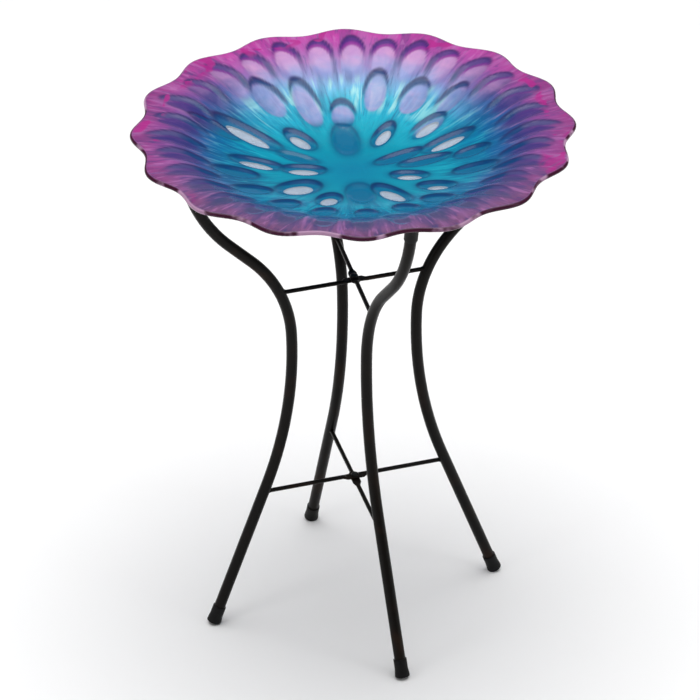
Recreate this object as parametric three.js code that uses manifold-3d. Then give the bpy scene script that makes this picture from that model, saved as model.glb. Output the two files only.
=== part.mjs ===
// A glass bird bath on a folding stand of four bowed tube legs.
// Millimetres, +Z up. The origin is on the floor, on the stand's vertical pivot axis.
// The first frame of the stand lies in the XZ plane. The second turns about Z on two rivets.
import * as THREE from "three";
import { mergeVertices } from "three/addons/utils/BufferGeometryUtils.js";
import Module from "manifold-3d";

const wasm = await Module();
wasm.setup();

// ---------- driving dimensions ----------

// Bowl: the radii are of its upper surface, measured from the axis.
const bowlRadius = 223.2; // mean radius of the scalloped rim
const rimLobes = 16; // scallops round the rim
const lobeHeight = 5.4; // how far a scallop stands out from the mean radius
const lobePhase = THREE.MathUtils.degToRad(7.1); // where the first scallop is
const scallopWidth = 35.2; // width of the outer band in which the scallops grow
const hubRadius = 25; // flat disc in the middle
const dishRadius = 305; // radius of curvature of the dish
const flangeWidth = 52.2; // from the end of the dish, where the shoulder begins, to the rim
const shoulderRadius = 65; // radius of curvature of the shoulder
const flangeSlope = THREE.MathUtils.degToRad(6); // rise of the flange outside the shoulder
const glassThickness = 5;

// Leg: the bent centre line, from the floor up. Angles are from the vertical, outwards.
const footRadius = 162; // from the pivot axis to the middle of the foot
const splay = THREE.MathUtils.degToRad(20.9); // lean of the lower leg
const lowerStraight = 176; // straight length above the foot
const lowerBend = 460; // bend radius of the long inward bow
const waistLean = THREE.MathUtils.degToRad(2); // lean where the long bow ends
const upperBend = 142; // bend radius of the outward sweep
const sweepLean = THREE.MathUtils.degToRad(45.5); // lean of the straight above it
const sweepStraight = 32; // length of that straight
const tipBend = 160; // bend radius of the turn back up to the bowl
const tipLean = THREE.MathUtils.degToRad(11.5); // lean of the tip
const tipStraight = 17; // straight length at the tip
const tubeRadius = 6;
const tubeWall = 1;

// Rubber caps: the same cap is on each foot and on each tip that carries the bowl.
const fit = 0.3; // gap between pieces that sit on or in each other
const capFloor = 4.2; // thickness beyond the tube's end
const capLength = 20;
const capWall = 0.8; // thickness round the tube
const capFlare = 0.8; // how much wider the closed end is than the mouth
const capEdge = 1.2; // rounding of the closed end's edge
const footWear = 0.65; // how much of the tilted foot cap is flat on the floor

// Frames, rods and pivots.
const openAngle = THREE.MathUtils.degToRad(95.5); // from the first frame to the second
const nestGap = 0.5; // gap between the feet when the stand is folded flat
const rodRadius = 2.3;
const rodHeights = { upper: 402, lower: 155 };
const rodGap = 0.4; // gap between the two rods where they cross
const padHalfWidth = 4.6; // half width of a rod's flattened middle
const padHalfLength = 8.5; // half length of the flattened middle
const padNeck = 5.5; // length over which the flat turns into the round rod
const padThickness = 2.3;
const rivetRadius = 2;
const rivetClearance = 0.1; // radial, between the rivet and the holes it turns in
const rivetHeadRadius = 4.3;
const rivetHeadHeight = 2.7;
const rivetTailRadius = 3.6;
const rivetTailHeight = 1.5;

// ---------- values that follow from them ----------

const edgeStart = bowlRadius - glassThickness / 2; // where the rounded edge of the rim begins
const shoulderStart = bowlRadius - flangeWidth;
const scallopStart = bowlRadius - scallopWidth;
const capMouthRadius = tubeRadius + fit + capWall;
const capFlareRadius = capMouthRadius + capFlare;
const nestOffset = 2 * capFlareRadius + nestGap; // the second frame's legs stand off its middle plane
const rodSpacing = 2 * rodRadius + rodGap; // height between the two rods of a pivot

// ---------- facets ----------

const tubeSides = 12;
const legSag = 0.25; // how far the facets of a bend may stand off its arc
const capSides = 16;
const rodSides = 12;
const rivetSides = 16;
const cutSides = 24; // of the cuts at the rods' ends
const bowlSides = rimLobes * 8;

// ---------- materials ----------

const steel = new THREE.MeshStandardMaterial({ color: 0x17150f, roughness: 0.42, metalness: 0.3 });
const rubber = new THREE.MeshStandardMaterial({ color: 0x141416, roughness: 0.8, metalness: 0 });
const rivetSteel = new THREE.MeshStandardMaterial({ color: 0x1b1916, roughness: 0.4, metalness: 0.4 });
const glass = new THREE.MeshStandardMaterial({ color: 0x2f6fae, roughness: 0.08, metalness: 0 });

// ---------- helpers ----------

// A closed three.js geometry as a manifold solid.
function solid(geometry) {
  const bare = geometry.clone();
  bare.deleteAttribute("normal");
  bare.deleteAttribute("uv");
  const merged = mergeVertices(bare, 1e-4);
  const vertProperties = new Float32Array(merged.attributes.position.array);
  const triVerts = new Uint32Array(merged.index.array);
  return new wasm.Manifold(new wasm.Mesh({ numProp: 3, vertProperties, triVerts }));
}

// A manifold solid as a three.js geometry.
function geometryOf(body) {
  const mesh = body.getMesh();
  const positions = new Float32Array(mesh.numVert * 3);
  for (let i = 0; i < mesh.numVert; i++) {
    const start = i * mesh.numProp;
    positions.set(mesh.vertProperties.subarray(start, start + 3), i * 3);
  }
  const geometry = new THREE.BufferGeometry();
  geometry.setAttribute("position", new THREE.BufferAttribute(positions, 3));
  geometry.setIndex(new THREE.BufferAttribute(new Uint32Array(mesh.triVerts), 1));
  geometry.computeVertexNormals();
  return geometry;
}

function named(name, geometry, material) {
  const mesh = new THREE.Mesh(geometry, material);
  mesh.name = name;
  return mesh;
}

const smooth = (low, high, x) => THREE.MathUtils.smoothstep(x, low, high);

// Points of an arc about a centre, for a lathe profile.
function arcPoints(centreX, centreY, radiusX, radiusY, from, to, count) {
  const points = [];
  for (let i = 0; i <= count; i++) {
    const angle = from + ((to - from) * i) / count;
    const x = centreX + radiusX * Math.cos(angle);
    const y = centreY + radiusY * Math.sin(angle);
    points.push(new THREE.Vector2(Math.max(x, 0), y));
  }
  return points;
}

// ---------- legs ----------

// The leg's centre line: straights and arcs in the XZ plane, x outwards from the pivot axis.
// It runs from the outer face of the foot cap to the outer face of the tip cap.
class LegLine {
  constructor() {
    this.pieces = [];
    this.end = { x: footRadius, z: 0, lean: -splay };
    // The foot cap's tilted lower edge reaches the floor, so its middle is a little above it.
    const flat = capFlareRadius - capEdge;
    this.end.z = flat * Math.sin(splay) + capEdge * (1 - Math.cos(splay)) - footWear;
    this.addStraight(lowerStraight);
    this.addArc(lowerBend, waistLean);
    this.addArc(upperBend, sweepLean);
    this.addStraight(sweepStraight);
    this.addArc(tipBend, tipLean);
    this.addStraight(tipStraight);
    this.total = this.pieces.reduce((sum, piece) => sum + piece.length, 0);
  }

  addStraight(length) {
    this.add({ start: this.end, length, curvature: 0 });
  }

  addArc(radius, lean) {
    const turn = lean - this.end.lean;
    this.add({ start: this.end, length: Math.abs(turn) * radius, curvature: Math.sign(turn) / radius });
  }

  add(piece) {
    this.pieces.push(piece);
    this.end = this.along(piece, piece.length);
  }

  // Where a piece is after a distance, and how it leans there.
  along(piece, distance) {
    const { start, curvature } = piece;
    const lean = start.lean + curvature * distance;
    if (curvature === 0) {
      const x = start.x + distance * Math.sin(lean);
      const z = start.z + distance * Math.cos(lean);
      return { x, z, lean };
    }
    const x = start.x - (Math.cos(lean) - Math.cos(start.lean)) / curvature;
    const z = start.z + (Math.sin(lean) - Math.sin(start.lean)) / curvature;
    return { x, z, lean };
  }

  // The state at a distance from the foot.
  at(distance) {
    let left = distance;
    for (const piece of this.pieces) {
      if (left <= piece.length) {
        return this.along(piece, left);
      }
      left -= piece.length;
    }
    return this.end;
  }

  // The state at a height: the line always rises, so halving finds it.
  atHeight(height) {
    let low = 0;
    let high = this.total;
    while (high - low > 1e-6) {
      const middle = (low + high) / 2;
      if (this.at(middle).z < height) {
        low = middle;
      } else {
        high = middle;
      }
    }
    return this.at(low);
  }
}

const legLine = new LegLine();

// The part of the centre line that the tube takes up, between the floors of the two caps.
// Its points are the ends of the straights, and arc points that stay within the sag.
class TubeLine extends THREE.Curve {
  constructor() {
    super();
    this.stations = [capFloor + fit];
    let reached = 0;
    for (const { length, curvature } of legLine.pieces) {
      const parts = curvature === 0 ? 1 : Math.ceil(length / Math.sqrt((8 * legSag) / Math.abs(curvature)));
      for (let i = 1; i <= parts; i++) {
        this.stations.push(reached + (length * i) / parts);
      }
      reached += length;
    }
    this.stations[this.stations.length - 1] -= capFloor + fit;
  }

  get steps() {
    return this.stations.length - 1;
  }

  stateAt(u) {
    return legLine.at(this.stations[Math.round(u * this.steps)]);
  }

  getPointAt(u, target = new THREE.Vector3()) {
    const { x, z } = this.stateAt(u);
    return target.set(x, 0, z);
  }

  getTangentAt(u, target = new THREE.Vector3()) {
    const { lean } = this.stateAt(u);
    return target.set(Math.sin(lean), 0, Math.cos(lean));
  }
}

function legTube() {
  const section = new THREE.Shape();
  section.absarc(0, 0, tubeRadius, 0, 2 * Math.PI, false);
  const bore = new THREE.Path();
  bore.absarc(0, 0, tubeRadius - tubeWall, 0, 2 * Math.PI, true);
  section.holes.push(bore);
  const line = new TubeLine();
  return new THREE.ExtrudeGeometry(section, {
    steps: line.steps,
    curveSegments: tubeSides / 2,
    bevelEnabled: false,
    extrudePath: line,
  });
}

// A lathe shape about +Y turned to stand along the leg at a state of its centre line.
function alongLeg(geometry, state) {
  geometry.rotateX(Math.PI / 2);
  geometry.rotateY(state.lean);
  geometry.translate(state.x, 0, state.z);
  return geometry;
}

// The rounded edge of a cap's closed end, from its flat face to its side.
function capEdgePoints(count) {
  return arcPoints(capFlareRadius - capEdge, capEdge, capEdge, capEdge, -Math.PI / 2, 0, count);
}

// A cap: a cup that flares to its closed end. Its closed end is at zero and its mouth is at +Y.
function capCup() {
  const bore = tubeRadius + fit;
  const profile = [
    new THREE.Vector2(0, 0),
    ...capEdgePoints(3),
    new THREE.Vector2(capMouthRadius, capLength * 0.5),
    new THREE.Vector2(capMouthRadius, capLength),
    new THREE.Vector2(bore, capLength),
    new THREE.Vector2(bore, capFloor),
    new THREE.Vector2(0, capFloor),
  ];
  return new THREE.LatheGeometry(profile, capSides);
}

// A foot cap, worn flat where it stands.
function footCap() {
  const foot = legLine.at(0);
  const size = 8 * capFlareRadius;
  const floor = new THREE.BoxGeometry(size, size, size).translate(foot.x, 0, -size / 2);
  return geometryOf(solid(alongLeg(capCup(), foot)).subtract(solid(floor)));
}

function tipCap() {
  return alongLeg(capCup().rotateX(Math.PI), legLine.at(legLine.total));
}

// ---------- bowl ----------

// Height of the bowl's upper surface over its flat middle, before the dimples.
function dishHeight(radius) {
  const reach = shoulderStart - hubRadius;
  const slope = Math.asin(reach / dishRadius);
  if (radius <= hubRadius) {
    return 0;
  }
  if (radius <= shoulderStart) {
    return dishRadius - Math.sqrt(dishRadius ** 2 - (radius - hubRadius) ** 2);
  }
  const shoulderZ = dishRadius * (1 - Math.cos(slope));
  const crestX = shoulderStart + shoulderRadius * Math.sin(slope);
  const crestZ = shoulderZ - shoulderRadius * Math.cos(slope);
  const flangeStart = crestX - shoulderRadius * Math.sin(flangeSlope);
  const along = Math.min(radius, flangeStart);
  const height = crestZ + Math.sqrt(shoulderRadius ** 2 - (crestX - along) ** 2);
  return height + (radius - along) * Math.tan(flangeSlope);
}

// Slope angle of the upper surface.
function dishSlope(radius) {
  const step = 0.5;
  return Math.atan((dishHeight(radius + step) - dishHeight(radius - step)) / (2 * step));
}

// The pressed dimples: rings of radial ovals, outermost first. Their places and lengths are shares
// of the dish's width, from the hub to the shoulder, and their widths are shares of their pitch.
const dimpleRings = [
  { count: 2 * rimLobes, place: 1.05, length: 0.4, width: 0.74, depth: 2.4, phase: 0 },
  { count: rimLobes, place: 0.73, length: 0.29, width: 0.46, depth: 2.2, phase: 0.5 },
  { count: rimLobes, place: 0.49, length: 0.26, width: 0.58, depth: 2, phase: 0 },
  { count: 12, place: 0.2, length: 0.33, width: 0.71, depth: 2, phase: 0.25 },
];

function dimpleDepth(radius, angle) {
  const dishWidth = shoulderStart - hubRadius;
  let depth = 0;
  for (const ring of dimpleRings) {
    const middle = hubRadius + ring.place * dishWidth;
    const along = (radius - middle) / (0.5 * ring.length * dishWidth);
    const turns = ((angle - lobePhase) / (2 * Math.PI)) * ring.count - ring.phase;
    const across = ((turns - Math.round(turns)) * radius) / (0.5 * ring.width * middle);
    const reach = along ** 2 + across ** 2;
    if (reach < 1) {
      depth += ring.depth * (1 - reach) ** 2;
    }
  }
  return depth;
}

// A point of the bowl: a radius of the round bowl moved out by the scallops.
function bowlPoint(radius, angle, height) {
  const grow = smooth(scallopStart, bowlRadius, radius);
  const out = radius + grow * lobeHeight * Math.cos(rimLobes * (angle - lobePhase));
  return [out * Math.cos(angle), out * Math.sin(angle), height];
}

// The radii of the bowl's rings, from the hub over the dish and the flange to the rim's edge.
function bowlRadii(dishSteps, flangeSteps) {
  const radii = [hubRadius];
  for (let i = 1; i <= dishSteps; i++) {
    radii.push(hubRadius + ((shoulderStart - hubRadius) * i) / dishSteps);
  }
  for (let i = 1; i <= flangeSteps; i++) {
    radii.push(shoulderStart + ((edgeStart - shoulderStart) * i) / flangeSteps);
  }
  return radii;
}

const upperRadii = bowlRadii(12, 5);
const lowerRadii = bowlRadii(3, 5);

// The glass: upper surface, rounded rim, lower surface, closed at both middles.
function bowlGlass() {
  const edge = glassThickness / 2;
  const rings = [];
  for (const radius of upperRadii.slice(0, -1)) {
    rings.push((angle) => {
      return bowlPoint(radius, angle, dishHeight(radius) - dimpleDepth(radius, angle));
    });
  }
  const rimMiddle = dishHeight(edgeStart) - edge;
  for (const turn of [90, 40, -10, -60, -90]) {
    const lean = THREE.MathUtils.degToRad(turn);
    const radius = edgeStart + edge * Math.cos(lean);
    rings.push((angle) => bowlPoint(radius, angle, rimMiddle + edge * Math.sin(lean)));
  }
  for (const radius of lowerRadii.slice(0, -1).reverse()) {
    rings.push((angle) => bowlPoint(radius, angle, undersideHeight(radius)));
  }
  const positions = [0, 0, 0];
  for (const ring of rings) {
    for (let i = 0; i < bowlSides; i++) {
      positions.push(...ring((2 * Math.PI * i) / bowlSides));
    }
  }
  positions.push(0, 0, -glassThickness);
  const last = positions.length / 3 - 1;
  const faces = [];
  for (let i = 0; i < bowlSides; i++) {
    const next = (i + 1) % bowlSides;
    faces.push(0, 1 + i, 1 + next);
    for (let k = 0; k < rings.length - 1; k++) {
      const inner = 1 + k * bowlSides;
      const outer = inner + bowlSides;
      faces.push(inner + i, outer + i, outer + next, inner + i, outer + next, inner + next);
    }
    const rim = 1 + (rings.length - 1) * bowlSides;
    faces.push(last, rim + next, rim + i);
  }
  const geometry = new THREE.BufferGeometry();
  geometry.setAttribute("position", new THREE.Float32BufferAttribute(positions, 3));
  geometry.setIndex(faces);
  geometry.computeVertexNormals();
  return geometry;
}

// Height of the smooth underside: the glass has the same thickness square to its surface.
function undersideHeight(radius) {
  return dishHeight(radius) - glassThickness / Math.cos(dishSlope(Math.max(radius, hubRadius)));
}

// Height of the underside's facets, which run straight from ring to ring.
function facetHeight(radius) {
  const outer = lowerRadii.findIndex((ring) => ring > radius);
  const [near, far] = lowerRadii.slice(outer - 1, outer + 1);
  return THREE.MathUtils.mapLinear(radius, near, far, undersideHeight(near), undersideHeight(far));
}

// How high the bowl sits: its underside rests on the edges of the four tip caps.
function bowlSeat() {
  const tip = legLine.at(legLine.total);
  let seat = 0;
  for (const point of capEdgePoints(8)) {
    for (const across of [-point.x, point.x]) {
      const x = tip.x + across * Math.cos(tip.lean) - point.y * Math.sin(tip.lean);
      const z = tip.z - across * Math.sin(tip.lean) - point.y * Math.cos(tip.lean);
      if (x > hubRadius && x < edgeStart) {
        seat = Math.max(seat, z - facetHeight(x));
      }
    }
  }
  return seat + fit;
}

// ---------- rods and rivets ----------

// A cross rod along X from leg to leg, flattened round the pivot.
// facing is 1 when the flat is on top of the rod, and -1 when it is underneath.
function rodBar(halfLength, facing) {
  const flatCentre = facing * (rodRadius - padThickness / 2);
  const stations = [0, padHalfLength, padHalfLength + padNeck / 2, padHalfLength + padNeck, halfLength];
  const along = [...stations.slice(1).reverse().map((x) => -x), ...stations];
  const positions = [];
  for (const x of along) {
    const round = smooth(padHalfLength, padHalfLength + padNeck, Math.abs(x));
    const halfWidth = THREE.MathUtils.lerp(padHalfWidth, rodRadius, round);
    const halfHeight = THREE.MathUtils.lerp(padThickness / 2, rodRadius, round);
    const centre = THREE.MathUtils.lerp(flatCentre, 0, round);
    for (let i = 0; i < rodSides; i++) {
      const angle = (2 * Math.PI * (i + 0.5)) / rodSides;
      const square = THREE.MathUtils.lerp(0.45, 1, round);
      const across = Math.sign(Math.cos(angle)) * Math.abs(Math.cos(angle)) ** square;
      const up = Math.sign(Math.sin(angle)) * Math.abs(Math.sin(angle)) ** square;
      positions.push(x, halfWidth * across, centre + halfHeight * up);
    }
  }
  const faces = [];
  for (let i = 0; i < rodSides; i++) {
    const next = (i + 1) % rodSides;
    for (let k = 0; k < along.length - 1; k++) {
      const near = k * rodSides;
      const far = near + rodSides;
      faces.push(near + i, far + next, far + i, near + i, near + next, far + next);
    }
  }
  const end = (along.length - 1) * rodSides;
  for (let i = 1; i < rodSides - 1; i++) {
    faces.push(0, i + 1, i);
    faces.push(end, end + i, end + i + 1);
  }
  const geometry = new THREE.BufferGeometry();
  geometry.setAttribute("position", new THREE.Float32BufferAttribute(positions, 3));
  geometry.setIndex(faces);
  return geometry;
}

// The two legs' tubes with their fitting gap, as straight lengths at a rod's height.
function legCutters(height, inset, offset) {
  const state = legLine.atHeight(height);
  const cutters = [];
  for (const side of [-1, 1]) {
    const cutRadius = tubeRadius + fit;
    const cutter = new THREE.CylinderGeometry(cutRadius, cutRadius, 6 * cutRadius, cutSides);
    alongLeg(cutter, { x: state.x - inset, z: height, lean: state.lean });
    cutter.translate(0, -offset, 0);
    cutter.rotateZ(side < 0 ? Math.PI : 0);
    cutters.push(solid(cutter));
  }
  return cutters;
}

// A rod between a frame's two legs, with its rivet hole and its ends cut to the tubes.
function rod(height, facing, inset, offset) {
  const state = legLine.atHeight(height);
  const reach = Math.hypot(state.x - inset, offset);
  const bar = rodBar(reach, facing);
  bar.rotateZ(-Math.atan2(offset, state.x - inset));
  bar.translate(0, 0, height);
  const holeRadius = rivetRadius + rivetClearance;
  const hole = new THREE.CylinderGeometry(holeRadius, holeRadius, 8 * rodRadius, rivetSides);
  hole.rotateX(Math.PI / 2);
  hole.translate(0, 0, height);
  let body = solid(bar).subtract(solid(hole));
  for (const cutter of legCutters(height, inset, offset)) {
    body = body.subtract(cutter);
  }
  const pieces = body.decompose();
  const volumes = pieces.map((piece) => piece.volume());
  return geometryOf(pieces[volumes.indexOf(Math.max(...volumes))]);
}

// A rivet: a domed head above the two flats and a closed tail below them.
function rivet() {
  const grip = padThickness + rodGap / 2 + fit;
  const profile = [
    new THREE.Vector2(0, -grip - rivetTailHeight),
    new THREE.Vector2(rivetTailRadius * 0.7, -grip - rivetTailHeight),
    new THREE.Vector2(rivetTailRadius, -grip - rivetTailHeight * 0.5),
    new THREE.Vector2(rivetTailRadius, -grip),
    new THREE.Vector2(rivetRadius, -grip),
    new THREE.Vector2(rivetRadius, grip),
    new THREE.Vector2(rivetHeadRadius, grip),
    ...arcPoints(0, grip, rivetHeadRadius, rivetHeadHeight, 0.1, Math.PI / 2, 4),
  ];
  return new THREE.LatheGeometry(profile, rivetSides).rotateX(Math.PI / 2);
}

// ---------- assembly ----------

// One frame of the stand: two legs with their caps, and two rods.
// side names go with the leg at -X and the leg at +X before the frame is turned.
function frame({ names, rodNames, inset, offset, rodSide }) {
  const group = new THREE.Group();
  for (const [index, name] of names.entries()) {
    const leg = new THREE.Group();
    leg.add(named(`leg_${name}`, legTube(), steel));
    leg.add(named(`foot_cap_${name}`, footCap(), rubber));
    leg.add(named(`tip_cap_${name}`, tipCap(), rubber));
    leg.children.forEach((mesh) => mesh.geometry.translate(-inset, -offset, 0));
    leg.rotation.z = index === 0 ? Math.PI : 0;
    group.add(leg);
  }
  for (const [level, pivotHeight] of Object.entries(rodHeights)) {
    const above = rodSide[level];
    const height = pivotHeight + (above * rodSpacing) / 2;
    group.add(named(`${rodNames}_rod_${level}`, rod(height, -above, inset, offset), steel));
  }
  return group;
}

const birdBath = new THREE.Group();

// At the upper pivot the second frame's rod is on top, and at the lower pivot it is underneath.
birdBath.add(
  frame({
    names: ["left", "right"],
    rodNames: "side",
    inset: 0,
    offset: 0,
    rodSide: { upper: -1, lower: 1 },
  }),
);

// The second frame's legs stand off its middle plane, so that they fold beside the first's,
// and come in a little, so that all four tips are equally far from the axis.
const tipRadius = legLine.at(legLine.total).x;
const secondFrame = frame({
  names: ["front", "rear"],
  rodNames: "cross",
  inset: tipRadius - Math.sqrt(tipRadius ** 2 - nestOffset ** 2),
  offset: nestOffset,
  rodSide: { upper: 1, lower: -1 },
});
secondFrame.rotation.z = openAngle;
birdBath.add(secondFrame);

for (const [level, height] of Object.entries(rodHeights)) {
  const pin = named(`pivot_rivet_${level}`, rivet(), rivetSteel);
  pin.position.z = height;
  birdBath.add(pin);
}

const bowl = named("glass_bowl", bowlGlass(), glass);
bowl.position.z = bowlSeat();
birdBath.add(bowl);

export default birdBath;
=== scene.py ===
"""A glass bird bath on a folding black stand.

Metres, +Z up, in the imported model's frame: the origin is on the floor on the stand's pivot axis,
+X runs along the side frame to its right leg, and the cross frame's rear leg is near +Y.
"""

import logging
import math
from dataclasses import dataclass, field
from enum import Enum
from typing import Sequence

import bpy
import numpy as np
from mathutils import Matrix, Vector


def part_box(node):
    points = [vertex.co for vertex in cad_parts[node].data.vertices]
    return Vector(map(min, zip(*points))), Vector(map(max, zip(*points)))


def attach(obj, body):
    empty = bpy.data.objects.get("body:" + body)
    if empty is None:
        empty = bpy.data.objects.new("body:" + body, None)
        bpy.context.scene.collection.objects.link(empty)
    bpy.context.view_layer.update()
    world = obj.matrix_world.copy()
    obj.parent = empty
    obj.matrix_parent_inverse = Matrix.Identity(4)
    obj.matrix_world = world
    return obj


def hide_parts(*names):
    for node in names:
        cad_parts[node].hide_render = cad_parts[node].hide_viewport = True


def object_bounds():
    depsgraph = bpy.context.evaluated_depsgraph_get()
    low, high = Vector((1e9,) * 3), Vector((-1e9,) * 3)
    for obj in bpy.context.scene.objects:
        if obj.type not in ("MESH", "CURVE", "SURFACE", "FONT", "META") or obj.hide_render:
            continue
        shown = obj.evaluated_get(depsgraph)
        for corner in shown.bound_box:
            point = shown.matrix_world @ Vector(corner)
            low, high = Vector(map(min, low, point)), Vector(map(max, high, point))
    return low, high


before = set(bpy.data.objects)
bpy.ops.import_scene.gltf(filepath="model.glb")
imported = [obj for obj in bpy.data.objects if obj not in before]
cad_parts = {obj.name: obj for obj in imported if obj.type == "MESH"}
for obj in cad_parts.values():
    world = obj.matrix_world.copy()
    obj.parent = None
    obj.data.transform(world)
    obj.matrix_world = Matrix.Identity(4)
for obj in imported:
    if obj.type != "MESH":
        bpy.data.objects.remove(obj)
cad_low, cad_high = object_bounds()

log = logging.getLogger("bird_bath")

Colour = tuple[float, float, float, float]
Profile = list[tuple[float, float]]
Values = float | np.ndarray
Socket = bpy.types.NodeSocket
Feed = Socket | float | Colour

MM = 0.001
DOUBLES = 1e-6  # vertices nearer to each other than this are one


def paint(code: str) -> Colour:
    """Turns a colour written as on a paint chart into the linear colour of the shaders.

    Args:
        code: six hexadecimal digits, two each of red, green and blue.

    Returns:
        The linear colour with full opacity.
    """
    channels = [int(code[i:i + 2], 16) / 255 for i in (0, 2, 4)]
    linear = [c / 12.92 if c <= 0.04045 else ((c + 0.055) / 1.055) ** 2.4 for c in channels]
    return (*linear, 1.0)


def smoothstep(low: float, high: float, value: Values) -> Values:
    """Rises smoothly from 0 at low to 1 at high."""
    t = np.clip((value - low) / (high - low), 0.0, 1.0)
    return t * t * (3 - 2 * t)


# ---------------------------------------------------------------- modelling by hand


def begin(name: str) -> bpy.types.Object:
    """Takes the primitive that was just added as the start of a piece, with its place in its mesh.

    Args:
        name: the piece's name.

    Returns:
        The piece, in edit mode with all of it selected.
    """
    piece = bpy.context.active_object
    piece.name = name
    piece.data.name = name
    bpy.ops.object.transform_apply(location=True, rotation=True, scale=True)
    bpy.ops.object.mode_set(mode="EDIT")
    bpy.ops.mesh.select_all(action="SELECT")
    return piece


def clear_selection() -> None:
    """Deselects every object, so that the next primitive is worked on alone."""
    bpy.ops.object.select_all(action="DESELECT")


def select_only(piece: bpy.types.Object) -> None:
    """Selects one piece and makes it the active one.

    Args:
        piece: the piece.
    """
    clear_selection()
    piece.select_set(True)
    bpy.context.view_layer.objects.active = piece


def close_up() -> None:
    """Merges the doubles of the whole mesh in edit mode, points its faces out and ends edit mode."""
    bpy.ops.mesh.select_all(action="SELECT")
    bpy.ops.mesh.remove_doubles(threshold=DOUBLES)
    bpy.ops.mesh.normals_make_consistent(inside=False)
    bpy.ops.object.mode_set(mode="OBJECT")


def lathe(name: str, profile: Profile, steps: int) -> bpy.types.Object:
    """Turns a profile about Z.

    Args:
        name: the piece's name.
        profile: radius and height of each point. It starts and ends on the axis.
        steps: how many faces the turn has.

    Returns:
        The closed piece, in object mode.
    """
    clear_selection()
    bpy.ops.mesh.primitive_plane_add(size=0.01)
    piece = begin(name)
    bpy.ops.mesh.merge(type="CENTER")
    bpy.ops.transform.translate(value=(profile[0][0], 0, profile[0][1]))
    for (radius, height), (next_radius, next_height) in zip(profile, profile[1:]):
        move = (next_radius - radius, 0, next_height - height)
        bpy.ops.mesh.extrude_region_move(TRANSFORM_OT_translate={"value": move})
    bpy.ops.mesh.select_all(action="SELECT")
    bpy.ops.mesh.spin(steps=steps, angle=2 * math.pi, center=(0, 0, 0), axis=(0, 0, 1))
    close_up()
    return piece


def arc(centre: tuple[float, float], radii: tuple[float, float], start: float, end: float,
        steps: int) -> Profile:
    """Points of a round stretch of a profile.

    Args:
        centre: radius and height of the arc's centre.
        radii: the arc's reach sideways and upwards.
        start: the first point's angle in degrees, from straight outwards.
        end: the last point's angle.
        steps: how many chords the arc has.

    Returns:
        The points, both ends included.
    """
    points = []
    for i in range(steps + 1):
        angle = math.radians(start + (end - start) * i / steps)
        radius = centre[0] + radii[0] * math.cos(angle)
        points.append((max(radius, 0.0), centre[1] + radii[1] * math.sin(angle)))
    return points


def put(piece: bpy.types.Object, place: Matrix) -> None:
    """Moves a piece's mesh to its place, so that the object stays at the origin.

    Args:
        piece: the piece.
        place: where its mesh goes.
    """
    select_only(piece)
    piece.matrix_world = place
    bpy.ops.object.transform_apply(location=True, rotation=True, scale=True)


def shade(piece: bpy.types.Object, angle: float) -> None:
    """Shades a piece smooth, but for edges sharper than the angle in degrees."""
    select_only(piece)
    bpy.ops.object.shade_smooth_by_angle(angle=math.radians(angle))


def read_points(piece: bpy.types.Object) -> np.ndarray:
    """Reads where a piece's vertices are.

    Args:
        piece: the piece, in object mode.

    Returns:
        One row of x, y and z for each vertex.
    """
    points = np.empty(len(piece.data.vertices) * 3)
    piece.data.vertices.foreach_get("co", points)
    return points.reshape(-1, 3)


def write_points(piece: bpy.types.Object, points: Sequence[np.ndarray]) -> None:
    """Moves a piece's vertices to new places, given as all x, all y and all z."""
    piece.data.vertices.foreach_set("co", np.stack(points, axis=1).ravel())
    piece.data.update()


def hand_over(piece: bpy.types.Object, body: str, node: str,
              material: bpy.types.Material) -> None:
    """Dresses a finished piece and puts it in the place of its CAD node.

    Args:
        piece: the finished piece.
        body: the moving body that it rides on.
        node: the CAD node that it stands for.
        material: the piece's finish.
    """
    piece.data.materials.clear()
    piece.data.materials.append(material)
    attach(piece, body)
    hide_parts(node)
    log.info("%s: %d faces, rides on %s", piece.name, len(piece.data.polygons), body)


# ---------------------------------------------------------------- finishes


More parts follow.
